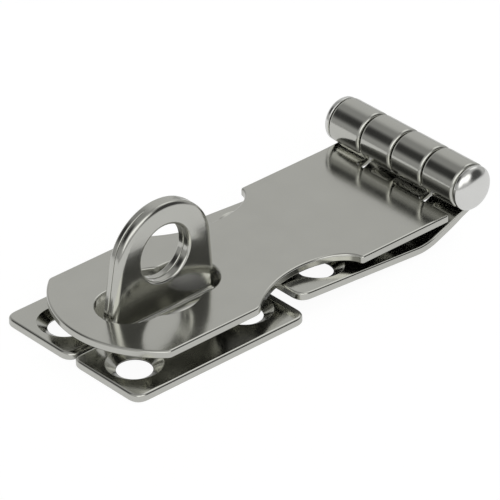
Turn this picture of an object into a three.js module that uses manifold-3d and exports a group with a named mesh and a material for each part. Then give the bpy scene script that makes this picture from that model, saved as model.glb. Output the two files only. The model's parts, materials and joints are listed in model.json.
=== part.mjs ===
// Hasp and staple in polished stainless sheet: a staple plate with a folded upright eye,
// a short hinge leaf, a slotted strap that closes over the eye, and a headed hinge pin.
//
// Millimetres, +Z up. The long axis is X, with the hinge at the +X end, and the hinge pin
// lies along Y. The origin is at the bottom centre of the closed hasp, on the plane that it
// is screwed to. The strap is closed, and the hinge leaf hangs free against its underside.

import * as THREE from 'three';
import { mergeVertices } from 'three/addons/utils/BufferGeometryUtils.js';
import Module from 'manifold-3d';

const wasm = await Module();
wasm.setup();

// ---------------------------------------------------------------- driving dimensions
const OVERALL_LENGTH = 98.7;
const SHEET = 1.8;
const LEAF_WIDTH = 38;
const CORNER_RADIUS = 3;

// Hinge
const BARREL_RADIUS = 5.2;
const HINGE_HEIGHT = 11.88;
const PIN_RADIUS = 3.1;
const PIN_HEAD_RADIUS = 5;
const PIN_HEAD_RIM = 0.9;
const PIN_HEAD_HEIGHT = 2.6;
const STRAP_CURL_END = 222 * Math.PI / 180;
const LEAF_CURL_END = 240 * Math.PI / 180;
const KNUCKLES = 4;
const KNUCKLE_GAP = 0.4;
const HEAD_GAP = 0.3;

// Hasp strap
const STRAP_HEIGHT = 5.53;
const STRAP_TIP = 92.1;
const STRAP_END_RADIUS = 24.2;
const STRAP_CUT_BACK = 5.5;
const STRAP_BEND = 20 * Math.PI / 180;
const STRAP_BEND_RADIUS = 4;
const SCALLOP_DEEPEST = 42;
const SCALLOP_DEPTH = 6.36;
const SCALLOP_LONG_SIDE = 16.7;
const SCALLOP_SHORT_SIDE = 11.6;
const SLOT_LENGTH = 29.6;
const SLOT_WIDTH = 13.8;
const SLOT_ROUND = 18;
const SLOT_PAST_EYE = 0.9;

// Hinge leaf
const LEAF_END = 46.8;
const LEAF_BEND = 25.8 * Math.PI / 180;
const LEAF_BEND_RADIUS = 12;
const LEAF_RAMP_OFFSET = 6;
const LEAF_CUT_BACK = 6;
const LEAF_SCREW_X = 35.3;
const LEAF_REST_ANGLE = 4.2 * Math.PI / 180;

// Staple
const STAPLE_LENGTH = 45.9;
const STAPLE_WIDTH = 42.1;
const FOLD_GAP = 0.3;
const FOOT_BEND = 2.4;
const FLANGE_SLIT = 0.5;
const FOOT_RELIEF = 1;
const FOOT_RELIEF_END = 4.2;
const EYE_HEIGHT = 28.15;
const EYE_RADIUS = 12.5;
const EYE_TOP_TRIM = 0.25;
const EYE_FOOT_LEFT = 14.6;
const EYE_FOOT_RIGHT = 13.3;
const EYE_KNEE_HEIGHT = 5.5;
const SHACKLE_HEIGHT = 16.74;
const SHACKLE_RADIUS = 6.35;
const EYE_X = 68.95;

// Screw holes
const SCREW_Y = 10.8;
const STAPLE_SCREW_INSET = 8;
const SCREW_RADIUS = 3.8;
const COUNTERSINK_RADIUS = 5.9;
const COUNTERSINK_LAND = 0.3;

// ---------------------------------------------------------------- derived places
const HINGE_X = OVERALL_LENGTH / 2 - BARREL_RADIUS;
const STAPLE_LEFT = -OVERALL_LENGTH / 2;
const STAPLE_RIGHT = STAPLE_LEFT + STAPLE_LENGTH;
const EYE_CENTRE_X = HINGE_X - EYE_X;
const SLOT_CENTRE = -EYE_X - SLOT_PAST_EYE;
const HALF_WIDTH = LEAF_WIDTH / 2;
const KNUCKLE_PITCH = LEAF_WIDTH / KNUCKLES;
const MID_RADIUS = BARREL_RADIUS - SHEET / 2;

// ---------------------------------------------------------------- fineness of the curves
const CURVE_STEPS = 8;
const BEND_STEPS = 6;
const CURL_STEPS = 36;
const DOME_STEPS = 8;
const HOLE_SIDES = 32;
const PIN_SIDES = 40;
const OVER = 1;
const HAIR = 0.01;

// ---------------------------------------------------------------- solids and cuts
function toSolid(geometry) {
  const bare = geometry.clone();
  bare.deleteAttribute('normal');
  bare.deleteAttribute('uv');
  const merged = mergeVertices(bare, 1e-4);
  return new wasm.Manifold(new wasm.Mesh({
    numProp: 3,
    vertProperties: new Float32Array(merged.attributes.position.array),
    triVerts: new Uint32Array(merged.index.array),
  }));
}

function toGeometry(solid) {
  const mesh = solid.getMesh();
  const geometry = new THREE.BufferGeometry();
  geometry.setAttribute('position', new THREE.BufferAttribute(mesh.vertProperties, 3));
  geometry.setIndex(new THREE.BufferAttribute(mesh.triVerts, 1));
  geometry.computeVertexNormals();
  return geometry;
}

function extrude(shape, depth) {
  return new THREE.ExtrudeGeometry(shape, {
    depth, bevelEnabled: false, curveSegments: CURVE_STEPS,
  });
}

// A plan outline in X and Y, standing from z0 to z1.
function prismZ(shape, z0, z1) {
  return toSolid(extrude(shape, z1 - z0).translate(0, 0, z0));
}

// A side outline in X and Z, running from y0 to y1.
function prismY(shape, y0, y1) {
  return toSolid(extrude(shape, y1 - y0).rotateX(Math.PI / 2).translate(0, y1, 0));
}

// An end outline in Y and Z, running from x0 to x1.
function prismX(shape, x0, x1) {
  const cycle = new THREE.Matrix4().set(0, 0, 1, 0, 1, 0, 0, 0, 0, 1, 0, 0, 0, 0, 0, 1);
  return toSolid(extrude(shape, x1 - x0).applyMatrix4(cycle).translate(x0, 0, 0));
}

function block(x0, x1, y0, y1, z0, z1) {
  const box = new THREE.BoxGeometry(x1 - x0, y1 - y0, z1 - z0);
  return toSolid(box.translate((x0 + x1) / 2, (y0 + y1) / 2, (z0 + z1) / 2));
}

function roundedRectangle(x0, x1, y0, y1, radius) {
  const shape = new THREE.Shape();
  shape.moveTo(x0 + radius, y0);
  shape.absarc(x1 - radius, y0 + radius, radius, -Math.PI / 2, 0);
  shape.absarc(x1 - radius, y1 - radius, radius, 0, Math.PI / 2);
  shape.absarc(x0 + radius, y1 - radius, radius, Math.PI / 2, Math.PI);
  shape.absarc(x0 + radius, y0 + radius, radius, Math.PI, 1.5 * Math.PI);
  return shape;
}

// A screw hole with a cone for a countersunk head, cut down through a sheet from z = top.
function screwHole(x, y, top) {
  const bottom = top - SHEET;
  const slope = (COUNTERSINK_RADIUS - SCREW_RADIUS) / (SHEET - COUNTERSINK_LAND);
  const profile = [
    new THREE.Vector2(0, bottom - OVER),
    new THREE.Vector2(SCREW_RADIUS, bottom - OVER),
    new THREE.Vector2(SCREW_RADIUS, bottom + COUNTERSINK_LAND),
    new THREE.Vector2(COUNTERSINK_RADIUS + slope * OVER, top + OVER),
    new THREE.Vector2(0, top + OVER),
  ];
  const cutter = new THREE.LatheGeometry(profile, HOLE_SIDES).rotateX(Math.PI / 2);
  return toSolid(cutter.translate(x, y, 0));
}

// ---------------------------------------------------------------- curled hinge sheets
// Outline of a bent sheet: its middle line, thickened to both sides.
function sheetOutline(middle) {
  const upper = [];
  const lower = [];
  middle.forEach((point, i) => {
    const before = middle[Math.max(i - 1, 0)];
    const after = middle[Math.min(i + 1, middle.length - 1)];
    const along = after.clone().sub(before).normalize();
    const normal = new THREE.Vector2(-along.y, along.x).multiplyScalar(SHEET / 2);
    upper.push(point.clone().add(normal));
    lower.push(point.clone().sub(normal));
  });
  return new THREE.Shape([...lower, ...upper.reverse()]);
}

// Side view of a leaf about its own hinge axis: a flat from x = -end at height z, a bend up
// of the given angle, a straight ramp, and a curl around the pin that stops at curlEnd.
// The ramp passes the axis at rampOffset, and the curl closes in to the barrel's radius.
function leafSide({ end, z, bend, bendRadius, rampOffset, curlEnd }) {
  const ramp = new THREE.Vector2(Math.cos(bend), Math.sin(bend));
  const touch = new THREE.Vector2(ramp.y, -ramp.x).multiplyScalar(rampOffset);
  const corner = touch.clone().addScaledVector(ramp, (z - touch.y) / ramp.y);
  const tangent = bendRadius * Math.tan(bend / 2);
  const middle = [new THREE.Vector2(-end, z)];
  for (let i = 0; i <= BEND_STEPS; i += 1) {
    const angle = -Math.PI / 2 + bend * i / BEND_STEPS;
    middle.push(new THREE.Vector2(
      corner.x - tangent + bendRadius * Math.cos(angle),
      z + bendRadius + bendRadius * Math.sin(angle),
    ));
  }
  const start = bend - Math.PI / 2;
  for (let i = 0; i <= CURL_STEPS; i += 1) {
    const angle = start + (curlEnd - start) * i / CURL_STEPS;
    const closing = Math.min(Math.max((angle - start) / -start, 0), 1);
    const eased = closing * closing * (3 - 2 * closing);
    const radius = rampOffset + (MID_RADIUS - rampOffset) * eased;
    middle.push(new THREE.Vector2(radius * Math.cos(angle), radius * Math.sin(angle)));
  }
  return sheetOutline(middle);
}

// The Y range of one knuckle, counted from the -Y end, with its share of the gaps.
function knuckle(index) {
  const y0 = -HALF_WIDTH + index * KNUCKLE_PITCH;
  const first = index === 0;
  const last = index === KNUCKLES - 1;
  return [
    y0 + (first ? 0 : KNUCKLE_GAP / 2),
    y0 + KNUCKLE_PITCH - (last ? 0 : KNUCKLE_GAP / 2),
  ];
}

// Room for the other sheet's knuckles, cut from the hinge end back to x = -cutBack.
function knuckleRoom(indices, cutBack) {
  const cuts = indices.map((index) => {
    const [y0, y1] = knuckle(index);
    const low = index === 0 ? -HALF_WIDTH - OVER : y0 - KNUCKLE_GAP;
    const high = index === KNUCKLES - 1 ? HALF_WIDTH + OVER : y1 + KNUCKLE_GAP;
    return block(-cutBack, BARREL_RADIUS + OVER, low, high,
      -HINGE_HEIGHT - OVER, 2 * BARREL_RADIUS);
  });
  return cuts.reduce((all, cut) => all.add(cut));
}

// Plan of the strap: rounded end, and a shallow scallop in each long side.
function strapPlan() {
  const shape = new THREE.Shape();
  const centre = -(STRAP_TIP - STRAP_END_RADIUS);
  const spread = Math.asin(HALF_WIDTH / STRAP_END_RADIUS);
  const depthRadius = (SCALLOP_LONG_SIDE ** 2 + SCALLOP_DEPTH ** 2) / (2 * SCALLOP_DEPTH);
  const sweep = Math.asin(SCALLOP_LONG_SIDE / depthRadius);
  const right = BARREL_RADIUS + OVER;
  shape.absarc(centre, 0, STRAP_END_RADIUS, Math.PI - spread, Math.PI + spread);
  const low = -HALF_WIDTH;
  const bottom = low + SCALLOP_DEPTH;
  shape.lineTo(-SCALLOP_DEEPEST - SCALLOP_LONG_SIDE, low);
  shape.absarc(-SCALLOP_DEEPEST, bottom - depthRadius, depthRadius,
    Math.PI / 2 + sweep, Math.PI / 2, true);
  shape.absellipse(-SCALLOP_DEEPEST, low, SCALLOP_SHORT_SIDE, SCALLOP_DEPTH,
    Math.PI / 2, 0, true);
  shape.lineTo(right, low);
  shape.lineTo(right, -low);
  shape.absellipse(-SCALLOP_DEEPEST, -low, SCALLOP_SHORT_SIDE, SCALLOP_DEPTH,
    2 * Math.PI, 1.5 * Math.PI, true);
  shape.absarc(-SCALLOP_DEEPEST, depthRadius - bottom, depthRadius,
    1.5 * Math.PI, 1.5 * Math.PI - sweep, true);
  return shape;
}

// Plan of the slot for the eye: round-ended, with a wider round at its middle.
function slotCutter(z0, z1) {
  const end = SLOT_WIDTH / 2;
  const straight = SLOT_LENGTH / 2;
  const slot = roundedRectangle(SLOT_CENTRE - straight, SLOT_CENTRE + straight,
    -end, end, end - HAIR);
  const round = new THREE.Shape();
  round.absarc(SLOT_CENTRE, 0, SLOT_ROUND / 2, 0, 2 * Math.PI);
  return prismZ(slot, z0, z1).add(prismZ(round, z0, z1));
}

function haspStrap() {
  const underside = STRAP_HEIGHT - HINGE_HEIGHT;
  const side = leafSide({
    end: STRAP_TIP + OVER, z: underside + SHEET / 2, bend: STRAP_BEND,
    bendRadius: STRAP_BEND_RADIUS, rampOffset: MID_RADIUS, curlEnd: STRAP_CURL_END,
  });
  return prismY(side, -HALF_WIDTH, HALF_WIDTH)
    .intersect(prismZ(strapPlan(), -2 * BARREL_RADIUS, 2 * BARREL_RADIUS))
    .subtract(slotCutter(-2 * BARREL_RADIUS, 0))
    .subtract(knuckleRoom([0, 2], STRAP_CUT_BACK));
}

function hingeLeaf() {
  const side = leafSide({
    end: LEAF_END, z: SHEET / 2 - HINGE_HEIGHT, bend: LEAF_BEND,
    bendRadius: LEAF_BEND_RADIUS, rampOffset: LEAF_RAMP_OFFSET - SHEET / 2,
    curlEnd: LEAF_CURL_END,
  });
  const plan = roundedRectangle(-LEAF_END, BARREL_RADIUS + CORNER_RADIUS + OVER,
    -HALF_WIDTH, HALF_WIDTH, CORNER_RADIUS);
  const top = SHEET - HINGE_HEIGHT;
  return prismY(side, -HALF_WIDTH, HALF_WIDTH)
    .intersect(prismZ(plan, -HINGE_HEIGHT - OVER, 2 * BARREL_RADIUS))
    .subtract(knuckleRoom([1, 3], LEAF_CUT_BACK))
    .subtract(screwHole(-LEAF_SCREW_X, -SCREW_Y, top))
    .subtract(screwHole(-LEAF_SCREW_X, SCREW_Y, top));
}

// Pin with a shallow domed head at each end, turned about Y.
function hingePin() {
  const headStart = HALF_WIDTH + HEAD_GAP;
  const dome = PIN_HEAD_HEIGHT - PIN_HEAD_RIM;
  const head = [
    new THREE.Vector2(PIN_RADIUS, headStart),
    new THREE.Vector2(PIN_HEAD_RADIUS, headStart),
  ];
  for (let i = 0; i < DOME_STEPS; i += 1) {
    const angle = Math.PI / 2 * i / DOME_STEPS;
    head.push(new THREE.Vector2(
      PIN_HEAD_RADIUS * Math.cos(angle),
      headStart + PIN_HEAD_RIM + dome * Math.sin(angle),
    ));
  }
  head.push(new THREE.Vector2(0, headStart + PIN_HEAD_HEIGHT));
  const mirrored = head.map((point) => new THREE.Vector2(point.x, -point.y)).reverse();
  return toSolid(new THREE.LatheGeometry([...mirrored, ...head], PIN_SIDES));
}

// ---------------------------------------------------------------- staple
// End view of the staple's sheet: flange, foot bend, up one side, folded over, and down.
function stapleEndView() {
  const half = FOLD_GAP / 2;
  const face = half + SHEET;
  const bendY = face + FOOT_BEND;
  const bendZ = SHEET + FOOT_BEND;
  const foldZ = EYE_HEIGHT - face;
  const reach = bendY + FOOT_BEND;
  const shape = new THREE.Shape();
  shape.moveTo(reach, 0);
  shape.absarc(bendY, bendZ, bendZ, -Math.PI / 2, -Math.PI, true);
  shape.absarc(0, foldZ, half, 0, Math.PI);
  shape.absarc(-bendY, bendZ, bendZ, 0, -Math.PI / 2, true);
  shape.lineTo(-reach, 0);
  shape.lineTo(-reach, SHEET);
  shape.absarc(-bendY, bendZ, FOOT_BEND, -Math.PI / 2, 0);
  shape.absarc(0, foldZ, face, Math.PI, 0, true);
  shape.absarc(bendY, bendZ, FOOT_BEND, Math.PI, 1.5 * Math.PI);
  shape.lineTo(reach, SHEET);
  return shape;
}

// Side view of the eye: a round head on a foot that widens, with the shackle hole.
function eyeSideView() {
  const headZ = EYE_HEIGHT - EYE_RADIUS + EYE_TOP_TRIM;
  const tangent = (footX) => {
    const drop = headZ - EYE_KNEE_HEIGHT;
    const reach = Math.hypot(footX, drop);
    return Math.atan2(drop, footX) - Math.acos(EYE_RADIUS / reach);
  };
  const right = -tangent(EYE_FOOT_RIGHT);
  const left = Math.PI + tangent(EYE_FOOT_LEFT);
  const shape = new THREE.Shape();
  shape.moveTo(EYE_CENTRE_X + EYE_FOOT_RIGHT, -OVER);
  shape.lineTo(EYE_CENTRE_X + EYE_FOOT_RIGHT, EYE_KNEE_HEIGHT);
  shape.absarc(EYE_CENTRE_X, headZ, EYE_RADIUS, right, left);
  shape.lineTo(EYE_CENTRE_X - EYE_FOOT_LEFT, EYE_KNEE_HEIGHT);
  shape.lineTo(EYE_CENTRE_X - EYE_FOOT_LEFT, -OVER);
  return shape;
}

function staple() {
  const edge = STAPLE_WIDTH / 2;
  const flanges = [-1, 1].map((side) => {
    const inner = side * FLANGE_SLIT / 2;
    const outer = side * edge;
    const plan = roundedRectangle(STAPLE_LEFT, STAPLE_RIGHT,
      Math.min(inner, outer), Math.max(inner, outer), CORNER_RADIUS);
    return prismZ(plan, 0, SHEET);
  });
  const relief = block(EYE_CENTRE_X - EYE_FOOT_LEFT - FOOT_RELIEF,
    EYE_CENTRE_X + EYE_FOOT_RIGHT + FOOT_RELIEF, -FOOT_RELIEF_END, FOOT_RELIEF_END,
    -OVER, SHEET + OVER);
  const shackle = new THREE.Shape();
  shackle.absarc(EYE_CENTRE_X, SHACKLE_HEIGHT, SHACKLE_RADIUS, 0, 2 * Math.PI);
  const upright = prismX(stapleEndView(), STAPLE_LEFT, STAPLE_RIGHT)
    .intersect(prismY(eyeSideView(), -edge, edge))
    .subtract(prismY(shackle, -edge, edge));
  let solid = flanges[0].add(flanges[1]).subtract(relief).add(upright);
  for (const x of [STAPLE_LEFT + STAPLE_SCREW_INSET, STAPLE_RIGHT - STAPLE_SCREW_INSET]) {
    for (const y of [-SCREW_Y, SCREW_Y]) {
      solid = solid.subtract(screwHole(x, y, SHEET));
    }
  }
  return solid;
}

// ---------------------------------------------------------------- scene graph
function steel(colour) {
  return new THREE.MeshStandardMaterial({ color: colour, roughness: 0.18, metalness: 1 });
}

function part(name, solid, colour) {
  const mesh = new THREE.Mesh(toGeometry(solid), steel(colour));
  mesh.name = name;
  return mesh;
}

const hasp = new THREE.Group();
hasp.add(part('staple', staple(), 0xc4c5c4));

const hinge = new THREE.Group();
hinge.position.set(HINGE_X, 0, HINGE_HEIGHT);
hinge.add(part('hinge_pin', hingePin(), 0xd0d0d0));
hinge.add(part('hasp_strap', haspStrap(), 0xbfc0bb));
const leafPivot = new THREE.Group();
leafPivot.rotation.y = LEAF_REST_ANGLE;
leafPivot.add(part('hinge_leaf', hingeLeaf(), 0xc4c5c4));
hinge.add(leafPivot);
hasp.add(hinge);

export default hasp;
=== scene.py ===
"""Hasp and staple in polished stainless sheet, with rounded edges and a headed hinge pin.

The strap, the leaf and the staple's feet are drawn flat, as the blanks that they are pressed
from, with their rims and holes rounded, and are then bent along the middle line of the finished
sheet. The staple's eye is drawn flat as two sheets pressed together, and stood up.
"""
import json
import math

import bmesh
import bpy
from mathutils import Matrix, Vector
from mathutils.geometry import delaunay_2d_cdt


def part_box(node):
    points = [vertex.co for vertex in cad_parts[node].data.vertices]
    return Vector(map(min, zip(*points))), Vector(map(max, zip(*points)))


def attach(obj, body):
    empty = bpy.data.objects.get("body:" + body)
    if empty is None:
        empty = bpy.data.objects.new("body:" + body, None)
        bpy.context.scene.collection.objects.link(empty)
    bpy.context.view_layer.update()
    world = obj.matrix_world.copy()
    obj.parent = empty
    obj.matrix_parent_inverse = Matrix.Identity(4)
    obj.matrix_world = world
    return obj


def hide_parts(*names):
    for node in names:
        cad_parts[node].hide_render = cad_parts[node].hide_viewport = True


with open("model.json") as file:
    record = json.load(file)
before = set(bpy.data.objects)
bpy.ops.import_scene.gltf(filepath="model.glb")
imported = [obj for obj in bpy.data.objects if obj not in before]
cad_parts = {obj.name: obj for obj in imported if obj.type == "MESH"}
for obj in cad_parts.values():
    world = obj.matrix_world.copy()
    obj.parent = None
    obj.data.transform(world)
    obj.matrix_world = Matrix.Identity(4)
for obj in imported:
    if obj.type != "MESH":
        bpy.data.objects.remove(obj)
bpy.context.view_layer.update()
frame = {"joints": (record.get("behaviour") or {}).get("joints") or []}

# ---------------------------------------------------------------- sizes, in millimetres
# A name that ends in SOFT is how far an edge's rounding reaches, or how far in and how far down.
# One that ends in CORNER is how much of each side is cut off at a corner of an outline.
MM = 0.001
SHEET = 1.8
HALF_SHEET = SHEET / 2
HALF_WIDTH = 19.0
CORNER = 3.0
PLATE_SOFT = 0.5
UNDERSIDE_SOFT = 0.3

HINGE_X = frame["joints"][0]["pos_m"][0] / MM
HINGE_Z = frame["joints"][0]["pos_m"][2] / MM
BARREL_RADIUS = 5.2
CURL_RADIUS = BARREL_RADIUS - HALF_SHEET
KNUCKLE_PITCH = 2 * HALF_WIDTH / 4
KNUCKLE_GAP = 0.4
KNUCKLE_SOFT = 0.7
KNUCKLE_SOFT_FROM = 4.0
KNUCKLE_CORNER = 1.4
ROOT_CORNER = 0.8

PIN_RADIUS = 3.1
HEAD_RADIUS = 5.0
HEAD_CLEARANCE = 0.25
HEAD_EDGE = 0.25
HEAD_SHOULDER = 0.75
HEAD_SIDE_POWER = 0.8
HEAD_CROWN_POWER = 1.45

# The strap, the leaf and their cut-outs are placed by their distance from the hinge's axis.
STRAP_TIP = 92.1
STRAP_END_RADIUS = 24.2
STRAP_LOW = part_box("hasp_strap")[0].z / MM
STRAP_CUT_BACK = 5.5
STRAP_BEND = math.radians(20)
STRAP_BEND_RADIUS = 4.0
STRAP_CURL_END = math.radians(222)
TIP_CORNER = 0.6
SCALLOP_DEEPEST = 42.0
SCALLOP_DEPTH = 6.36
SCALLOP_LONG = 16.7
SCALLOP_SHORT = 11.6
SHOULDER_CORNER = 1.2
WAIST_CORNER = 0.8
SLOT_CENTRE = 69.85
SLOT_LENGTH = 29.6
SLOT_WIDTH = 13.8
SLOT_ROUND = 18.0
SLOT_CORNER = 0.9

LEAF_END = 46.8
LEAF_BEND = math.radians(25.8)
LEAF_BEND_RADIUS = 12.0
LEAF_RAMP_OUTSIDE = 6.0
LEAF_CUT_BACK = 6.0
LEAF_SCREW_X = 35.3
LEAF_REST_ANGLE = math.radians(4.2)
LEAF_CURL_END = math.radians(240)

STAPLE_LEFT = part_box("staple")[0].x / MM
STAPLE_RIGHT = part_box("staple")[1].x / MM
STAPLE_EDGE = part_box("staple")[1].y / MM
EYE_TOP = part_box("staple")[1].z / MM
EYE_X = HINGE_X - 68.95
EYE_RADIUS = 12.5
EYE_TOP_TRIM = 0.25
EYE_HEAD_Z = EYE_TOP - EYE_RADIUS + EYE_TOP_TRIM
EYE_FOOT_LEFT = 14.6
EYE_FOOT_RIGHT = 13.3
EYE_KNEE_Z = 5.5
EYE_KNEE_CORNER = 1.5
EYE_SOFT = (1.6, 0.85)
EYE_JOINT_Z = 7.0
SHACKLE_Z = 16.74
SHACKLE_RADIUS = 6.35
SHACKLE_SOFT = (0.7, 0.6)
HALF_GAP = 0.05
HALF_EYE = HALF_GAP + SHEET
SEAM_END = 3.4
SEAM_FADE = 1.2
SEAM_DEPTH = 0.7
SEAM_SOFT = 0.28
FOLD_RADIUS = HALF_GAP + HALF_SHEET
FOLD_Z = EYE_TOP - FOLD_RADIUS - HALF_SHEET
FOOT_BEND = 2.4
FOOT_RADIUS = FOOT_BEND + HALF_SHEET
FOOT_Z = HALF_SHEET + FOOT_RADIUS
FOOT_SOFT_FROM = -4.5
FOOT_SOFT_RUN = 2.5

FLANGE_SLIT = 0.25
SLIT_CORNER = 1.0
RELIEF_WIDTH = 1.0
RELIEF_END = 4.2
RELIEF_CORNER = 0.49
RELIEF_SOFT = 0.35
FLANGE_SOFT = 0.6
FLANGE_SOFT_WIDTH = 1.0
FLANGE_SOFT_FADE = 3.0
FLANGE_UNDERSIDE_SOFT = 0.25

SCREW_Y = 10.8
SCREW_INSET = 8.0
SCREW_RADIUS = 3.8
SCREW_LAND = 0.3
SCREW_LAND_BREAK = 0.06
SCREW_LOW_EDGE = 0.12
COUNTERSINK_RADIUS = 5.8
COUNTERSINK_SOFT = 0.35

# ---------------------------------------------------------------- fineness of the meshes
# Steps are pieces to an arc or a turn. Points closer than TOUCHING count as one.
TOUCHING = 1e-4
LONGEST_SIDE = 2.0
BEND_STEP = math.radians(5)
CORNER_STEPS = 8
ARC_STEPS = 24
END_STEPS = 32
TIP_STEPS = 64
CROWN_STEPS = 60
HOLE_STEPS = 64
SHACKLE_STEPS = 96
RELIEF_STEPS = 4
DOME_STEPS = 20
EDGE_STEPS = 5
PIN_STEPS = 96
ROUND_STEPS = 6
QUARTER = math.pi / 2
ROUND_ANGLES = [QUARTER * k / ROUND_STEPS for k in range(ROUND_STEPS + 1)]
FACES_INSIDE = 1


# ---------------------------------------------------------------- middle lines of bent sheets
class MiddleLine:
    """Straight runs and arcs end to end. A run is (length, curvature), left turns positive."""

    def __init__(self, start, heading, runs):
        self.runs = []
        along, point = 0.0, Vector(start)
        for length, curve in runs:
            self.runs.append((along, point.copy(), heading, curve))
            point, heading = self.step(point, heading, curve, length)
            along += length
        self.length = along

    @staticmethod
    def step(point, heading, curve, length):
        """Where a run of the given length and curvature ends, and its heading there."""
        if abs(curve) < 1e-9:
            ahead = Vector((math.cos(heading), math.sin(heading)))
            return point + ahead * length, heading
        turned = heading + curve * length
        shift = Vector((
            math.sin(turned) - math.sin(heading),
            math.cos(heading) - math.cos(turned),
        ))
        return point + shift / curve, turned

    def at(self, along, height):
        """The point that lies at a distance along the line and a height to its left."""
        for start, point, heading, curve in reversed(self.runs):
            if along >= start:
                break
        point, heading = self.step(point, heading, curve, along - start)
        left = Vector((-math.sin(heading), math.cos(heading)))
        return point + left * height

    def cuts(self, turn):
        """Places to cut a flat blank, so that each strip bends by no more than turn."""
        places = []
        ends = [run[0] for run in self.runs[1:]] + [self.length]
        for (start, _, _, curve), end in zip(self.runs, ends):
            count = max(1, math.ceil(abs(curve) * (end - start) / turn))
            places += [start + (end - start) * i / count for i in range(count + 1)]
        return places


def eased(t):
    """Goes smoothly from 0 to 1 as t does."""
    t = min(max(t, 0), 1)
    return t * t * (3 - 2 * t)


# ---------------------------------------------------------------- outlines
def arc(cx, cy, rx, start, end, steps, ry=None):
    """Points along an arc of a circle, or of an ellipse where ry is given."""
    ry = rx if ry is None else ry
    angles = [start + (end - start) * i / steps for i in range(steps + 1)]
    return [Vector((cx + rx * math.cos(a), cy + ry * math.sin(a))) for a in angles]


def trimmed(points, distance):
    """The points of a run, less the given distance at its start."""
    points = [p.copy() for p in points]
    while distance > 0 and len(points) > 1:
        step = (points[1] - points[0]).length
        if step > distance:
            points[0] = points[0].lerp(points[1], distance / step)
            break
        distance -= step
        points.pop(0)
    return points


def chain(runs):
    """Closed outline from runs of points. Each run comes with the corner cut after it."""
    outline = []
    for i, (points, corner) in enumerate(runs):
        before = runs[i - 1][1]
        following = trimmed(runs[(i + 1) % len(runs)][0], corner)
        body = trimmed(points, before)
        body = trimmed(body[::-1], corner)[::-1]
        outline += body
        if corner > 0:
            tip, end = points[-1], following[0]
            for k in range(1, CORNER_STEPS):
                t = k / CORNER_STEPS
                outline.append(body[-1].lerp(tip, t).lerp(tip.lerp(end, t), t))
    clean = []
    for point in outline:
        if not clean or (point - clean[-1]).length > TOUCHING:
            clean.append(point)
    if (clean[0] - clean[-1]).length < TOUCHING:
        clean.pop()
    return clean


def spaced(outline, longest):
    """The outline with extra points, so that no side is longer than given."""
    points = []
    for here, after in zip(outline, outline[1:] + outline[:1]):
        count = max(1, math.ceil((after - here).length / longest))
        points += [here.lerp(after, i / count) for i in range(count)]
    return points


def inward_normals(outline):
    """The direction into the sheet, to the left of the outline, at each of its points."""
    inward = []
    for i, point in enumerate(outline):
        ahead = (outline[(i + 1) % len(outline)] - point).normalized()
        behind = (point - outline[i - 1]).normalized()
        inward.append(Vector((-ahead.y - behind.y, ahead.x + behind.x)).normalized())
    return inward


def rounding(reach, depth, angle):
    """A point of an edge's rounding: how far in, how far down, and how far it leans out."""
    lean = math.atan2(math.sin(angle) * depth, math.cos(angle) * reach)
    return reach * (1 - math.sin(angle)), depth * (1 - math.cos(angle)), lean


def rim_point(point, inward, inset, height, lean, side):
    """A point on the rim and the normal there. side is 1 on the upper half, -1 on the lower."""
    flat = point + inward * inset
    out = -inward * math.sin(lean)
    return Vector((flat.x, flat.y, side * height)), Vector((out.x, out.y, side * math.cos(lean)))


def rim(outline, upper, lower):
    """Rings of a rounded rim from the upper face to the lower one. The sheet lies to the
    left of the outline. upper and lower give how far in and how far down the rounding
    reaches at a point."""
    outline = spaced(outline, LONGEST_SIDE)
    inward = inward_normals(outline)
    rings = []
    for side, soft_at, angles in ((1, upper, ROUND_ANGLES), (-1, lower, ROUND_ANGLES[::-1])):
        for angle in angles:
            ring = []
            for point, left in zip(outline, inward):
                inset, drop, lean = rounding(*soft_at(point), angle)
                ring.append(rim_point(point, left, inset, HALF_SHEET - drop, lean, side))
            rings.append(ring)
    return rings


def turned_hole(cx, cy, profile):
    """Rings of a round hole from a profile of (radius, height, normal angle)."""
    rings = []
    for radius, height, tilt in profile:
        ring = []
        for i in range(HOLE_STEPS):
            angle = -2 * math.pi * i / HOLE_STEPS
            out = Vector((math.cos(angle), math.sin(angle)))
            ring.append((
                Vector((cx + radius * out.x, cy + radius * out.y, height)),
                Vector((-out.x * math.sin(tilt), -out.y * math.sin(tilt), math.cos(tilt))),
            ))
        rings.append(ring)
    return rings


def countersunk(cx, cy):
    """A screw hole whose cone opens to the upper face, with soft edges."""
    top, low = HALF_SHEET, -HALF_SHEET
    soft, edge = COUNTERSINK_SOFT, SCREW_LOW_EDGE
    land_top = low + SCREW_LAND
    cone = math.atan2(SHEET - SCREW_LAND, COUNTERSINK_RADIUS - SCREW_RADIUS)
    profile = []
    for tilt in (0.0, cone / 3, cone * 2 / 3, cone):
        radius = COUNTERSINK_RADIUS + soft - soft * math.sin(tilt)
        profile.append((radius, top - soft * (1 - math.cos(tilt)), tilt))
    upper_radius, upper_height, _ = profile[-1]
    lower_radius = SCREW_RADIUS + SCREW_LAND_BREAK
    profile.append(((upper_radius + lower_radius) / 2, (upper_height + land_top) / 2, cone))
    profile.append((lower_radius, land_top + SCREW_LAND_BREAK, cone))
    profile.append((SCREW_RADIUS, land_top - SCREW_LAND_BREAK / 2, QUARTER))
    for tilt in (QUARTER, QUARTER * 3 / 2, math.pi):
        radius = SCREW_RADIUS + edge * (1 - math.sin(tilt))
        profile.append((radius, low + edge * (1 + math.cos(tilt)), tilt))
    return turned_hole(cx, cy, profile)


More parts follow.
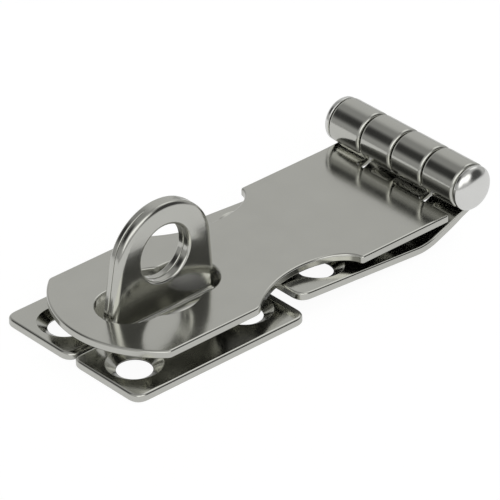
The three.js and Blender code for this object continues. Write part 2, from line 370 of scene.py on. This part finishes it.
# ---------------------------------------------------------------- meshes
def flat_blank(boundaries):
    """A closed flat sheet from its boundaries, each a list of rings of (point, normal)."""
    mesh = bmesh.new()
    normals = mesh.verts.layers.float_vector.new("flat_normal")
    rims = []
    for rings in boundaries:
        made = []
        for ring in rings:
            verts = []
            for point, normal in ring:
                vert = mesh.verts.new(point)
                vert[normals] = normal
                verts.append(vert)
            made.append(verts)
        for above, below in zip(made, made[1:]):
            count = len(above)
            for i in range(count):
                j = (i + 1) % count
                mesh.faces.new((above[i], below[i], below[j], above[j]))
        rims.append(made)
    for end in (0, -1):
        flat, loops = [], []
        for loop in (made[end] for made in rims):
            loops.append(list(range(len(flat), len(flat) + len(loop))))
            flat += loop
        loops[1:] = [loop[::-1] for loop in loops[1:]]
        points = [vert.co.to_2d() for vert in flat]
        _, _, faces, verts_of, _, loops_of = delaunay_2d_cdt(points, [], loops, FACES_INSIDE, 1e-6)
        for corners, owners in zip(faces, loops_of):
            if owners == [0]:
                mesh.faces.new([flat[verts_of[i][0]] for i in corners])
    bmesh.ops.recalc_face_normals(mesh, faces=mesh.faces)
    if mesh.calc_volume(signed=True) < 0:
        bmesh.ops.reverse_faces(mesh, faces=mesh.faces)
    return mesh


def cut_across(mesh, axis, places):
    """Cuts the blank into strips at the places given along X (axis 0) or Y (axis 1)."""
    normal = Vector((1, 0, 0)) if axis == 0 else Vector((0, 1, 0))
    for place in places:
        everything = mesh.verts[:] + mesh.edges[:] + mesh.faces[:]
        bmesh.ops.bisect_plane(
            mesh, geom=everything, dist=1e-5, plane_co=normal * place, plane_no=normal)


def bent(mesh, place):
    """Moves each point of the blank to its place, and returns the bent normals. Each normal
    turns with the slope of place, which is measured by small steps each way."""
    flat = mesh.verts.layers.float_vector["flat_normal"]
    step = 1e-3
    targets = []
    for vert in mesh.verts:
        co = vert.co
        here = place(co.x, co.y, co.z)
        columns = []
        for axis in range(3):
            shifted = co.copy()
            shifted[axis] += step
            back = co.copy()
            back[axis] -= step
            columns.append((place(*shifted) - place(*back)) / (2 * step))
        jacobian = Matrix(columns).transposed()
        normal = jacobian.inverted_safe().transposed() @ vert[flat]
        targets.append((here, normal.normalized()))
    for vert, (here, _) in zip(mesh.verts, targets):
        vert.co = here
    return [normal for _, normal in targets]


def joined(pieces):
    """One bmesh and one list of normals from several."""
    whole = bmesh.new()
    normals = []
    for mesh, piece_normals in pieces:
        verts = {vert: whole.verts.new(vert.co) for vert in mesh.verts}
        for face in mesh.faces:
            whole.faces.new([verts[vert] for vert in face.verts])
        normals += piece_normals
        mesh.free()
    return whole, normals


def finished(name, mesh, normals, material, body, node):
    """Turns a bmesh in millimetres into a smooth piece in metres that rides on a body."""
    data = bpy.data.meshes.new(name)
    for vert in mesh.verts:
        vert.co = vert.co * MM
    mesh.to_mesh(data)
    mesh.free()
    data.shade_smooth()
    if normals:
        data.normals_split_custom_set_from_vertices([tuple(normal) for normal in normals])
    piece = bpy.data.objects.new(name, data)
    bpy.context.scene.collection.objects.link(piece)
    data.materials.append(material)
    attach(piece, body)
    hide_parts(node)
    return piece


# ---------------------------------------------------------------- materials
HAZE_SCALE = 140
STREAK_SCALE = 900
STREAK_SHARE = 0.5
NOISE_RANGE = (0.35, 0.65)
ROUGH_SPREAD = (0.85, 1.2)
TINT_SPREAD = (0.95, 1.05)
BUMP_STRENGTH = 0.03
BUMP_DISTANCE = 0.0002


def node(tree, kind, **settings):
    """A new node with the given settings."""
    made = tree.nodes.new(kind)
    for key, value in settings.items():
        setattr(made, key, value)
    return made


def noise(tree, coords, scale, detail, stretch=(1, 1, 1)):
    """Cloudy noise, drawn out along the axes whose stretch is under 1."""
    mapping = node(tree, "ShaderNodeMapping")
    mapping.inputs["Scale"].default_value = stretch
    tree.links.new(coords, mapping.inputs["Vector"])
    texture = node(tree, "ShaderNodeTexNoise")
    texture.inputs["Scale"].default_value = scale
    texture.inputs["Detail"].default_value = detail
    tree.links.new(mapping.outputs["Vector"], texture.inputs["Vector"])
    return texture.outputs["Fac"]


def ranged(tree, value, low, high):
    """Noise spread from low to high."""
    made = node(tree, "ShaderNodeMapRange")
    made.inputs["From Min"].default_value = NOISE_RANGE[0]
    made.inputs["From Max"].default_value = NOISE_RANGE[1]
    made.inputs["To Min"].default_value = low
    made.inputs["To Max"].default_value = high
    tree.links.new(value, made.inputs["Value"])
    return made.outputs["Result"]


def polished_steel(name, colour, roughness, grain):
    """Polished stainless: a soft mirror with a faint haze and fine streaks along the grain."""
    material = bpy.data.materials.new(name)
    material.use_nodes = True
    tree = material.node_tree
    shader = tree.nodes["Principled BSDF"]
    shader.inputs["Metallic"].default_value = 1.0
    coords = node(tree, "ShaderNodeTexCoord").outputs["Object"]
    haze = noise(tree, coords, HAZE_SCALE, 4)
    streaks = noise(tree, coords, STREAK_SCALE, 3, grain)

    total = node(tree, "ShaderNodeMath", operation="MULTIPLY_ADD")
    tree.links.new(streaks, total.inputs[0])
    total.inputs[1].default_value = STREAK_SHARE
    tree.links.new(haze, total.inputs[2])
    mean = node(tree, "ShaderNodeMath", operation="DIVIDE")
    tree.links.new(total.outputs[0], mean.inputs[0])
    mean.inputs[1].default_value = 1 + STREAK_SHARE
    least, most = (roughness * spread for spread in ROUGH_SPREAD)
    rough = ranged(tree, mean.outputs[0], least, most)
    tree.links.new(rough, shader.inputs["Roughness"])

    tint = node(tree, "ShaderNodeMix", data_type="RGBA")
    tree.links.new(haze, tint.inputs["Factor"])
    darker, lighter = TINT_SPREAD
    tint.inputs["A"].default_value = (*[value * darker for value in colour], 1)
    tint.inputs["B"].default_value = (*[value * lighter for value in colour], 1)
    tree.links.new(tint.outputs["Result"], shader.inputs["Base Color"])

    bump = node(tree, "ShaderNodeBump")
    bump.inputs["Strength"].default_value = BUMP_STRENGTH
    bump.inputs["Distance"].default_value = BUMP_DISTANCE
    tree.links.new(streaks, bump.inputs["Height"])
    tree.links.new(bump.outputs["Normal"], shader.inputs["Normal"])
    return material


SHEET_STEEL = polished_steel("sheet_steel", (0.62, 0.62, 0.58), 0.14, (0.05, 1, 1))
PIN_STEEL = polished_steel("pin_steel", (0.85, 0.85, 0.83), 0.16, (1, 1, 1))


# ---------------------------------------------------------------- strap and leaf
def knuckle_span(index):
    """Where a knuckle starts and ends along Y. The outer ones reach the strap's sides."""
    low = -HALF_WIDTH + index * KNUCKLE_PITCH
    start = low + (KNUCKLE_GAP / 2 if index > 0 else 0)
    end = low + KNUCKLE_PITCH - (KNUCKLE_GAP / 2 if index < 3 else 0)
    return start, end


def hinge_end(plate_end, tab_end, knuckles):
    """Runs of the hinge end of a blank, up its right side, with a tab for each knuckle."""
    runs = []
    y = -HALF_WIDTH
    for index in knuckles:
        start, end = knuckle_span(index)
        if start > y + KNUCKLE_GAP:
            runs.append(([Vector((plate_end, y)), Vector((plate_end, start))], ROOT_CORNER))
        runs.append(([Vector((plate_end, start)), Vector((tab_end, start))], KNUCKLE_CORNER))
        runs.append(([Vector((tab_end, start)), Vector((tab_end, end))], KNUCKLE_CORNER))
        if end < HALF_WIDTH - KNUCKLE_GAP:
            runs.append(([Vector((tab_end, end)), Vector((plate_end, end))], ROOT_CORNER))
        y = end
    if y < HALF_WIDTH - KNUCKLE_GAP:
        runs.append(([Vector((plate_end, y)), Vector((plate_end, HALF_WIDTH))], ROOT_CORNER))
    return runs


def edge_soft(plate, knuckle, change):
    """Rounding that goes from the plate's to the knuckles' over 2 mm, halfway at change."""
    def at(point):
        radius = plate + (knuckle - plate) * eased((point.x - change + 1) / 2)
        return radius, radius
    return at


def strap_line():
    """Middle line of the strap, in X and Z about the hinge axis, from its tip."""
    z = STRAP_LOW + HALF_SHEET - HINGE_Z
    sine, cosine = math.sin(STRAP_BEND), math.cos(STRAP_BEND)
    touch = Vector((CURL_RADIUS * sine, -CURL_RADIUS * cosine))
    corner_x = touch.x - (touch.y - z) * cosine / sine
    tangent = STRAP_BEND_RADIUS * math.tan(STRAP_BEND / 2)
    ramp = (touch - Vector((corner_x, z))).length - tangent
    curl = STRAP_CURL_END + QUARTER - STRAP_BEND
    return MiddleLine((-STRAP_TIP, z), 0.0, [
        (corner_x - tangent + STRAP_TIP, 0.0),
        (STRAP_BEND_RADIUS * STRAP_BEND, 1 / STRAP_BEND_RADIUS),
        (ramp, 0.0),
        (CURL_RADIUS * curl, 1 / CURL_RADIUS),
    ])


def leaf_line():
    """Middle line of the leaf, in X and Z about the hinge axis, from its free end, flat."""
    z = HALF_SHEET - HINGE_Z
    sine, cosine = math.sin(LEAF_BEND), math.cos(LEAF_BEND)
    wide = (LEAF_RAMP_OUTSIDE - HALF_SHEET - CURL_RADIUS * sine) / (1 - sine)
    touch = Vector((CURL_RADIUS - wide + wide * sine, -wide * cosine))
    corner_x = touch.x - (touch.y - z) * cosine / sine
    tangent = LEAF_BEND_RADIUS * math.tan(LEAF_BEND / 2)
    ramp = (touch - Vector((corner_x, z))).length - tangent
    return MiddleLine((-LEAF_END, z), 0.0, [
        (corner_x - tangent + LEAF_END, 0.0),
        (LEAF_BEND_RADIUS * LEAF_BEND, 1 / LEAF_BEND_RADIUS),
        (ramp, 0.0),
        (wide * (QUARTER - LEAF_BEND), 1 / wide),
        (CURL_RADIUS * LEAF_CURL_END, 1 / CURL_RADIUS),
    ])


def slot_outline():
    """The slot for the eye: round-ended, with a wider round at its middle."""
    centre = STRAP_TIP - SLOT_CENTRE
    end = SLOT_WIDTH / 2
    reach = SLOT_LENGTH / 2 - end
    big = SLOT_ROUND / 2
    meet = math.asin(end / big)
    right = centre + big * math.cos(meet)
    left = centre - big * math.cos(meet)
    runs = [
        (arc(centre + reach, 0, end, -QUARTER, QUARTER, END_STEPS), 0),
        ([Vector((centre + reach, end)), Vector((right, end))], SLOT_CORNER),
        (arc(centre, 0, big, meet, math.pi - meet, END_STEPS), SLOT_CORNER),
        ([Vector((left, end)), Vector((centre - reach, end))], 0),
        (arc(centre - reach, 0, end, QUARTER, 3 * QUARTER, END_STEPS), 0),
        ([Vector((centre - reach, -end)), Vector((left, -end))], SLOT_CORNER),
        (arc(centre, 0, big, math.pi + meet, 2 * math.pi - meet, END_STEPS), SLOT_CORNER),
        ([Vector((right, -end)), Vector((centre + reach, -end))], 0),
    ]
    return chain(runs)[::-1]


def strap_side(plate_end):
    """Runs of the strap's right side from its tip to its hinge end: a straight shoulder, the
    scallop's long and short halves, and the straight waist."""
    low = -HALF_WIDTH
    spread = math.asin(HALF_WIDTH / STRAP_END_RADIUS)
    tip = arc(
        STRAP_END_RADIUS, 0, STRAP_END_RADIUS, math.pi - spread, math.pi + spread, TIP_STEPS)
    deepest = STRAP_TIP - SCALLOP_DEEPEST
    radius = (SCALLOP_LONG ** 2 + SCALLOP_DEPTH ** 2) / (2 * SCALLOP_DEPTH)
    inner = low + SCALLOP_DEPTH - radius
    sweep = math.asin(SCALLOP_LONG / radius)
    shoulder = Vector((deepest - SCALLOP_LONG, low))
    waist = Vector((deepest + SCALLOP_SHORT, low))
    return [
        (tip, TIP_CORNER),
        ([tip[-1], shoulder], SHOULDER_CORNER),
        (arc(deepest, inner, radius, QUARTER + sweep, QUARTER, ARC_STEPS), 0),
        (arc(deepest, low, SCALLOP_SHORT, QUARTER, 0, ARC_STEPS, SCALLOP_DEPTH), WAIST_CORNER),
        ([waist, Vector((plate_end, low))], ROOT_CORNER),
    ]


def hasp_strap():
    """The slotted strap, with a scallop in each side and two knuckles curled over the pin."""
    line = strap_line()
    plate_end = STRAP_TIP - STRAP_CUT_BACK
    tip, shoulder, long_scallop, short_scallop, waist = strap_side(plate_end)

    def mirror(run):
        """The same points on the strap's left side, in the order that goes on round it."""
        return [Vector((point.x, -point.y)) for point in reversed(run[0])]

    runs = [tip, shoulder, long_scallop, short_scallop, waist]
    runs += hinge_end(plate_end, line.length, (1, 3))
    runs += [
        ([Vector((line.length, HALF_WIDTH)), mirror(waist)[-1]], WAIST_CORNER),
        (mirror(short_scallop), 0),
        (mirror(long_scallop), SHOULDER_CORNER),
        (mirror(shoulder), TIP_CORNER),
    ]
    upper = edge_soft(PLATE_SOFT, UNDERSIDE_SOFT, plate_end)
    lower = edge_soft(UNDERSIDE_SOFT, KNUCKLE_SOFT, plate_end + KNUCKLE_SOFT_FROM)
    blank = flat_blank([
        rim(chain(runs), upper, lower),
        rim(slot_outline(), upper, lower),
    ])
    cut_across(blank, 0, line.cuts(BEND_STEP))

    def place(along, across, height):
        point = line.at(along, height)
        return Vector((HINGE_X + point.x, across, HINGE_Z + point.y))

    normals = bent(blank, place)
    return finished(
        "strap_sheet", blank, normals, SHEET_STEEL, "strap", "hasp_strap")


def hinge_leaf():
    """The screwed leaf, swung up to its place at rest, with two knuckles round the pin."""
    line = leaf_line()
    plate_end = LEAF_END - LEAF_CUT_BACK
    low = -HALF_WIDTH
    _, *runs = hinge_end(plate_end, line.length, (0, 2))
    runs += [
        ([Vector((plate_end, HALF_WIDTH)), Vector((0, HALF_WIDTH))], CORNER),
        ([Vector((0, HALF_WIDTH)), Vector((0, low))], CORNER),
        ([Vector((0, low)), Vector((line.length, low))], KNUCKLE_CORNER),
    ]
    upper = edge_soft(PLATE_SOFT, UNDERSIDE_SOFT, plate_end)
    lower = edge_soft(UNDERSIDE_SOFT, KNUCKLE_SOFT, plate_end + KNUCKLE_SOFT_FROM)
    screw = LEAF_END - LEAF_SCREW_X
    blank = flat_blank([
        rim(chain(runs), upper, lower),
        countersunk(screw, -SCREW_Y),
        countersunk(screw, SCREW_Y),
    ])
    cut_across(blank, 0, line.cuts(BEND_STEP))
    sine, cosine = math.sin(LEAF_REST_ANGLE), math.cos(LEAF_REST_ANGLE)

    def place(along, across, height):
        point = line.at(along, height)
        return Vector((
            HINGE_X + point.x * cosine + point.y * sine,
            across,
            HINGE_Z - point.x * sine + point.y * cosine,
        ))

    normals = bent(blank, place)
    return finished(
        "leaf_sheet", blank, normals, SHEET_STEEL, "leaf", "hinge_leaf")


# ---------------------------------------------------------------- staple
def staple_line():
    """Middle line of one half of the staple, in Y and Z, from the fold to the flange."""
    return MiddleLine((0, FOLD_Z + FOLD_RADIUS), 0.0, [
        (QUARTER * FOLD_RADIUS, -1 / FOLD_RADIUS),
        (FOLD_Z - FOOT_Z, 0.0),
        (QUARTER * FOOT_RADIUS, 1 / FOOT_RADIUS),
        (STAPLE_EDGE - FOLD_RADIUS - FOOT_RADIUS, 0.0),
    ])


def eye_side(foot, side):
    """One side of the eye in X and Z: points down from the crown to where the side leans out
    straight, and the knee of the foot that it ends at."""
    drop = EYE_HEAD_Z - EYE_KNEE_Z
    lean = math.atan2(drop, foot) - math.acos(EYE_RADIUS / math.hypot(foot, drop))
    rise = EYE_TOP - EYE_HEAD_Z
    crown = arc(0, EYE_HEAD_Z, EYE_RADIUS, QUARTER, -lean, CROWN_STEPS, rise)
    points = [Vector((EYE_X + side * point.x, point.y)) for point in crown]
    return points, Vector((EYE_X + side * foot, EYE_KNEE_Z))


def seam_profile(soft):
    """Half of the eye's rim in section, from its face to its middle. Each row has the inset,
    height and lean where the sheets are one folded strip, then the same at the open seam."""
    rows = []
    for angle in ROUND_ANGLES:
        inset, drop, lean = rounding(*soft, angle)
        row = (inset, HALF_EYE - drop, lean)
        rows.append((row, row))
    lip = HALF_GAP + SEAM_SOFT
    for angle in ROUND_ANGLES:
        folded = (0.0, lip * (1 - angle / math.pi), QUARTER)
        lip_inset = SEAM_SOFT * (1 - math.cos(angle))
        opened = (lip_inset, lip - SEAM_SOFT * math.sin(angle), QUARTER + angle)
        rows.append((folded, opened))
    rows.append(((0.0, HALF_GAP / 2, QUARTER), (SEAM_DEPTH, HALF_GAP, math.pi)))
    return rows


def seam_rim(outline, soft, seam_at):
    """Rings of the rim of two sheets pressed together, with the seam between them. seam_at
    gives 1 where the seam is open and 0 where the sheets are one folded strip."""
    outline = spaced(outline, LONGEST_SIDE)
    inward = inward_normals(outline)
    profile = seam_profile(soft)
    rings = []
    for side in (1, -1):
        for folded, opened in profile[::side]:
            ring = []
            for point, left in zip(outline, inward):
                seam = seam_at(point)
                inset, height, lean = (a + (b - a) * seam for a, b in zip(folded, opened))
                ring.append(rim_point(point, left, inset, height, lean, side))
            rings.append(ring)
    return rings


def eye_plate():
    """The upright eye: two sheets pressed together under the fold, as far down as the joint."""
    right, right_knee = eye_side(EYE_FOOT_RIGHT, 1)
    left, left_knee = eye_side(EYE_FOOT_LEFT, -1)
    left_base, right_base = Vector((left_knee.x, 0)), Vector((right_knee.x, 0))
    outline = chain([
        ([left_knee, left_base], 0),
        ([left_base, right_base], 0),
        ([right_base, right_knee], EYE_KNEE_CORNER),
        ([right_knee, right[-1]], 0),
        (right[::-1], 0),
        (left, 0),
        ([left[-1], left_knee], EYE_KNEE_CORNER),
    ])

    def seam(point):
        """Open up both sides, and closed over the crown, where the sheet is folded."""
        if point.y < EYE_HEAD_Z:
            return 1.0
        return eased((abs(point.x - EYE_X) - SEAM_END) / SEAM_FADE)

    circle = arc(EYE_X, SHACKLE_Z, SHACKLE_RADIUS, 0, 2 * math.pi, SHACKLE_STEPS)[:-1]
    plate = flat_blank([
        seam_rim(outline, EYE_SOFT, seam),
        seam_rim(circle[::-1], SHACKLE_SOFT, lambda point: 1.0),
    ])
    cut_across(plate, 1, [EYE_JOINT_Z])
    below = [v for v in plate.verts if v.co.y < EYE_JOINT_Z - TOUCHING]
    bmesh.ops.delete(plate, geom=below, context="VERTS")
    return plate, bent(plate, lambda x, z, height: Vector((x, -height, z)))


def foot_outline(fold_end, slit, root, edge):
    """Outline of one foot with its flange, unrolled: X, and Y along the sheet from the fold."""
    def unrolled(point):
        """A point of the upright eye's X and Z, laid flat."""
        return Vector((point.x, fold_end + FOLD_Z - point.y))

    def side_runs(foot, way, sheet_end):
        """Runs from the eye's side out to the flange's far edge, round the relief slot."""
        points, knee = eye_side(foot, way)
        near_x = EYE_X + way * foot
        far_x = near_x + way * RELIEF_WIDTH
        return [
            ([unrolled(points[-1]), unrolled(knee)], EYE_KNEE_CORNER),
            ([unrolled(knee), Vector((near_x, root))], RELIEF_CORNER),
            ([Vector((near_x, root)), Vector((far_x, root))], RELIEF_CORNER),
            ([Vector((far_x, root)), Vector((far_x, slit))], SLIT_CORNER),
            ([Vector((far_x, slit)), Vector((sheet_end, slit))], CORNER),
            ([Vector((sheet_end, slit)), Vector((sheet_end, edge))], CORNER),
        ]

    right = side_runs(EYE_FOOT_RIGHT, 1, STAPLE_RIGHT)
    left = side_runs(EYE_FOOT_LEFT, -1, STAPLE_LEFT)
    runs = right + [([Vector((STAPLE_RIGHT, edge)), Vector((STAPLE_LEFT, edge))], CORNER)]
    corners = [0] + [corner for _, corner in left]
    for i in range(len(left) - 1, -1, -1):
        runs.append((left[i][0][::-1], corners[i]))
    runs.append(([left[0][0][0], right[0][0][0]], 0))
    return chain(runs)


def foot_sheet(side):
    """One flange of the staple with its screw holes and the foot that bends up to the eye."""
    line = staple_line()
    fold_end = QUARTER * FOLD_RADIUS
    flange = fold_end + FOLD_Z - FOOT_Z + QUARTER * FOOT_RADIUS
    bend_y = FOLD_RADIUS + FOOT_RADIUS
    unroll = flange - bend_y
    edge = STAPLE_EDGE + unroll

    def soft(eye_value, relief_value, outer_value):
        """Rounding that goes from the eye's to the relief slots' to the outer edges'."""
        def at(point):
            inset = min(edge - point.y, STAPLE_RIGHT - point.x, point.x - STAPLE_LEFT)
            inner = eased((inset - FLANGE_SOFT_WIDTH) / FLANGE_SOFT_FADE)
            radius = outer_value + (relief_value - outer_value) * inner
            t = eased((point.y - flange - FOOT_SOFT_FROM) / FOOT_SOFT_RUN)
            return tuple(value + (radius - value) * t for value in eye_value)
        return at

    outline = foot_outline(fold_end, FLANGE_SLIT + unroll, RELIEF_END + unroll, edge)
    upper = soft(EYE_SOFT, RELIEF_SOFT, FLANGE_SOFT)
    under = FLANGE_UNDERSIDE_SOFT
    lower = soft((SEAM_SOFT, SEAM_SOFT), under, under)
    holes = [
        countersunk(x, SCREW_Y + unroll)
        for x in (STAPLE_LEFT + SCREW_INSET, STAPLE_RIGHT - SCREW_INSET)
    ]
    blank = flat_blank([rim(outline, upper, lower), *holes])
    joint = fold_end + FOLD_Z - EYE_JOINT_Z
    cut_across(blank, 1, [joint] + [cut for cut in line.cuts(BEND_STEP) if cut > joint])
    relief = [RELIEF_WIDTH * i / RELIEF_STEPS for i in range(RELIEF_STEPS + 1)]
    cut_across(blank, 0, [EYE_X + EYE_FOOT_RIGHT + x for x in relief])
    cut_across(blank, 0, [EYE_X - EYE_FOOT_LEFT - x for x in relief])
    above = [v for v in blank.verts if v.co.y < joint - TOUCHING]
    bmesh.ops.delete(blank, geom=above, context="VERTS")

    def place(x, along, height):
        """Bends the foot up to the eye. Past the relief slots the flange stays level."""
        point = line.at(along, height)
        beyond = max(x - EYE_X - EYE_FOOT_RIGHT, EYE_X - EYE_FOOT_LEFT - x) / RELIEF_WIDTH
        if beyond > 0:
            level = Vector((along - unroll, HALF_SHEET + height))
            point = point.lerp(level, eased(beyond))
        return Vector((x, side * point.x, point.y))

    normals = bent(blank, place)
    if side < 0:
        bmesh.ops.reverse_faces(blank, faces=blank.faces)
    return blank, normals


def staple():
    """The eye and its two flanges as one piece."""
    mesh, normals = joined([eye_plate(), foot_sheet(1), foot_sheet(-1)])
    return finished(
        "staple_sheet", mesh, normals, SHEET_STEEL, "base", "staple")


# ---------------------------------------------------------------- hinge pin
def pin_profile():
    """(radius, Y) along the pin from the tip of one head to the tip of the other."""
    start = HALF_WIDTH + HEAD_CLEARANCE
    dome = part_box("hinge_pin")[1].y / MM - start - HEAD_SHOULDER
    neck = HEAD_RADIUS - HEAD_EDGE
    half = [(PIN_RADIUS, 0.0), (PIN_RADIUS, start), (neck, start)]
    for k in range(1, EDGE_STEPS + 1):
        angle = QUARTER * k / EDGE_STEPS
        half.append((
            neck + HEAD_EDGE * math.sin(angle),
            start + HEAD_EDGE * (1 - math.cos(angle)),
        ))
    half.append((HEAD_RADIUS, start + HEAD_SHOULDER))
    for k in range(1, DOME_STEPS + 1):
        angle = QUARTER * k / DOME_STEPS
        half.append((
            HEAD_RADIUS * math.cos(angle) ** HEAD_SIDE_POWER,
            start + HEAD_SHOULDER + dome * math.sin(angle) ** HEAD_CROWN_POWER,
        ))
    return [(radius, -y) for radius, y in reversed(half)] + half[1:]


def hinge_pin():
    """Pin with a shallow domed head on each end, turned about Y."""
    mesh = bmesh.new()
    rings = []
    for radius, y in pin_profile():
        ring = []
        for i in range(PIN_STEPS if radius > 1e-6 else 1):
            angle = 2 * math.pi * i / PIN_STEPS
            x = HINGE_X + radius * math.cos(angle)
            ring.append(mesh.verts.new((x, y, HINGE_Z + radius * math.sin(angle))))
        rings.append(ring)
    for low, high in zip(rings, rings[1:]):
        for i in range(PIN_STEPS):
            j = (i + 1) % PIN_STEPS
            sides = ((low, i), (low, j), (high, j), (high, i))
            corners = [ring[k % len(ring)] for ring, k in sides]
            mesh.faces.new(list(dict.fromkeys(corners)))
    bmesh.ops.recalc_face_normals(mesh, faces=mesh.faces)
    return finished("pin_turned", mesh, None, PIN_STEEL, "base", "hinge_pin")


staple()
hasp_strap()
hinge_leaf()
hinge_pin()


# ---------------------------------------------------------------- floor, light and camera
# Each soft area of the room: its direction, inner and outer angle, and brightness.
ROOM_LEVEL = 0.45
ROOM_TINT = (1.0, 1.0, 0.985)
STUDIO = [
    ((0.00, 0.45, 0.89), 0, 50, 0.30),
    ((0.62, 0.60, 0.42), 10, 38, 0.56),
    ((-0.75, 0.62, 0.10), 0, 30, 0.36),
    ((-0.52, 0.64, 0.55), 4, 24, 0.04),
    ((0.60, -0.74, 0.25), 14, 34, 0.06),
    ((0.62, 0.02, 0.78), 4, 26, 1.0),
    ((-0.05, -0.87, 0.50), 8, 24, 1.35),
    ((-0.55, -0.68, 0.48), 12, 28, 1.3),
]

# The floor glows evenly out to the pool's inner distance, in metres, and fades to the outer
# one: a painted pool of light. Seen in reflections it is dimmer, and dimmer still where the piece
# covers it: painted shade.
FLOOR_HALF = 2.0
FLOOR_Z = -0.00003
FLOOR_GREY = 0.12
FLOOR_ROUGHNESS = 0.9
FLOOR_GLOW = 0.93
POOL_INNER = 0.13
POOL_OUTER = 0.45
POOL_EDGE = 0.30
FLOOR_BOUNCE = 0.67
SHADE_REACH = 0.03
SHADE_FULL = 0.02
SHADE_NONE = 0.45
SHADE_SAMPLES = 8

CAMERA_AZIMUTH = math.radians(-41.21)
CAMERA_ELEVATION = math.radians(31.72)
CAMERA_ROLL = math.radians(-0.93)
CAMERA_TARGET = Vector((1.15, 1.75, 5.0)) * MM
CAMERA_DISTANCE = 1.046
CAMERA_LENS = 362.4
CAMERA_SENSOR = 36


def lobe(tree, direction, towards, inner, outer):
    """1 within the inner angle of a direction, easing to 0 at the outer one, in degrees."""
    dot = node(tree, "ShaderNodeVectorMath", operation="DOT_PRODUCT")
    tree.links.new(direction, dot.inputs[0])
    dot.inputs[1].default_value = Vector(towards).normalized()
    made = node(tree, "ShaderNodeMapRange", interpolation_type="SMOOTHSTEP")
    made.inputs["From Min"].default_value = math.cos(math.radians(outer))
    made.inputs["From Max"].default_value = math.cos(math.radians(inner))
    tree.links.new(dot.outputs["Value"], made.inputs["Value"])
    return made.outputs["Result"]


def studio_world():
    """A grey room with large soft lights and a few dark flags, all soft-edged."""
    world = bpy.data.worlds.new("studio")
    bpy.context.scene.world = world
    world.use_nodes = True
    tree = world.node_tree
    direction = node(tree, "ShaderNodeTexCoord").outputs["Generated"]
    level = node(tree, "ShaderNodeValue").outputs[0]
    level.default_value = ROOM_LEVEL
    for towards, inner, outer, brightness in STUDIO:
        mask = lobe(tree, direction, towards, inner, outer)
        mix = node(tree, "ShaderNodeMix", data_type="FLOAT")
        tree.links.new(mask, mix.inputs[0])
        tree.links.new(level, mix.inputs[2])
        mix.inputs[3].default_value = brightness
        level = mix.outputs[0]
    background = tree.nodes["Background"]
    background.inputs["Color"].default_value = (*ROOM_TINT, 1)
    tree.links.new(level, background.inputs["Strength"])


def floor():
    """A plain white floor that glows in a painted pool of light, with painted shade where the
    piece covers it, seen in reflections.
    """
    mesh = bpy.data.meshes.new("floor")
    half, low = FLOOR_HALF, FLOOR_Z
    corners = [(-half, -half, low), (half, -half, low), (half, half, low), (-half, half, low)]
    mesh.from_pydata(corners, [], [(0, 1, 2, 3)])
    material = bpy.data.materials.new("floor_paper")
    material.use_nodes = True
    tree = material.node_tree
    shader = tree.nodes["Principled BSDF"]
    shader.inputs["Base Color"].default_value = (*[FLOOR_GREY] * 3, 1)
    shader.inputs["Roughness"].default_value = FLOOR_ROUGHNESS
    shader.inputs["Emission Color"].default_value = (1, 1, 1, 1)

    coords = node(tree, "ShaderNodeTexCoord").outputs["Object"]
    distance = node(tree, "ShaderNodeVectorMath", operation="LENGTH")
    tree.links.new(coords, distance.inputs[0])
    # Painted pool of light: the glow fades from FLOOR_GLOW to POOL_EDGE with distance from the
    # middle.
    pool = node(tree, "ShaderNodeMapRange", interpolation_type="SMOOTHSTEP")
    pool.inputs["From Min"].default_value = POOL_INNER
    pool.inputs["From Max"].default_value = POOL_OUTER
    pool.inputs["To Min"].default_value = FLOOR_GLOW
    pool.inputs["To Max"].default_value = POOL_EDGE
    tree.links.new(distance.outputs["Value"], pool.inputs["Value"])

    # Painted shade: for rays other than the camera's, the glow is turned down where ambient
    # occlusion finds the piece covering the floor.
    open_sky = node(tree, "ShaderNodeAmbientOcclusion", samples=SHADE_SAMPLES)
    open_sky.inputs["Distance"].default_value = SHADE_REACH
    shade = node(tree, "ShaderNodeMapRange", interpolation_type="SMOOTHSTEP")
    shade.inputs["From Min"].default_value = SHADE_FULL
    shade.inputs["From Max"].default_value = SHADE_NONE
    shade.inputs["To Max"].default_value = FLOOR_BOUNCE
    tree.links.new(open_sky.outputs["AO"], shade.inputs["Value"])

    seen = node(tree, "ShaderNodeMix", data_type="FLOAT")
    tree.links.new(node(tree, "ShaderNodeLightPath").outputs["Is Camera Ray"], seen.inputs[0])
    tree.links.new(shade.outputs["Result"], seen.inputs[2])
    seen.inputs[3].default_value = 1.0
    lit = node(tree, "ShaderNodeMath", operation="MULTIPLY")
    tree.links.new(pool.outputs["Result"], lit.inputs[0])
    tree.links.new(seen.outputs[0], lit.inputs[1])
    tree.links.new(lit.outputs[0], shader.inputs["Emission Strength"])

    mesh.materials.append(material)
    piece = bpy.data.objects.new("floor", mesh)
    bpy.context.scene.collection.objects.link(piece)


def camera():
    """A long lens at the photograph's angle, turned a little about its own axis."""
    flat = math.cos(CAMERA_ELEVATION)
    back = Vector((
        math.sin(CAMERA_AZIMUTH) * flat,
        -math.cos(CAMERA_AZIMUTH) * flat,
        math.sin(CAMERA_ELEVATION),
    ))
    level = Vector((0, 0, 1)).cross(back).normalized()
    upright = back.cross(level)
    right = level * math.cos(CAMERA_ROLL) + upright * math.sin(CAMERA_ROLL)
    up = upright * math.cos(CAMERA_ROLL) - level * math.sin(CAMERA_ROLL)
    data = bpy.data.cameras.new("camera")
    data.lens = CAMERA_LENS
    data.sensor_width = CAMERA_SENSOR
    data.clip_start, data.clip_end = 0.01, 20
    made = bpy.data.objects.new("camera", data)
    axes = Matrix((right, up, back)).transposed().to_4x4()
    made.matrix_world = Matrix.Translation(CAMERA_TARGET + back * CAMERA_DISTANCE) @ axes
    bpy.context.scene.collection.objects.link(made)
    bpy.context.scene.camera = made


studio_world()
floor()
camera()
bpy.context.scene.view_settings.view_transform = "Standard"
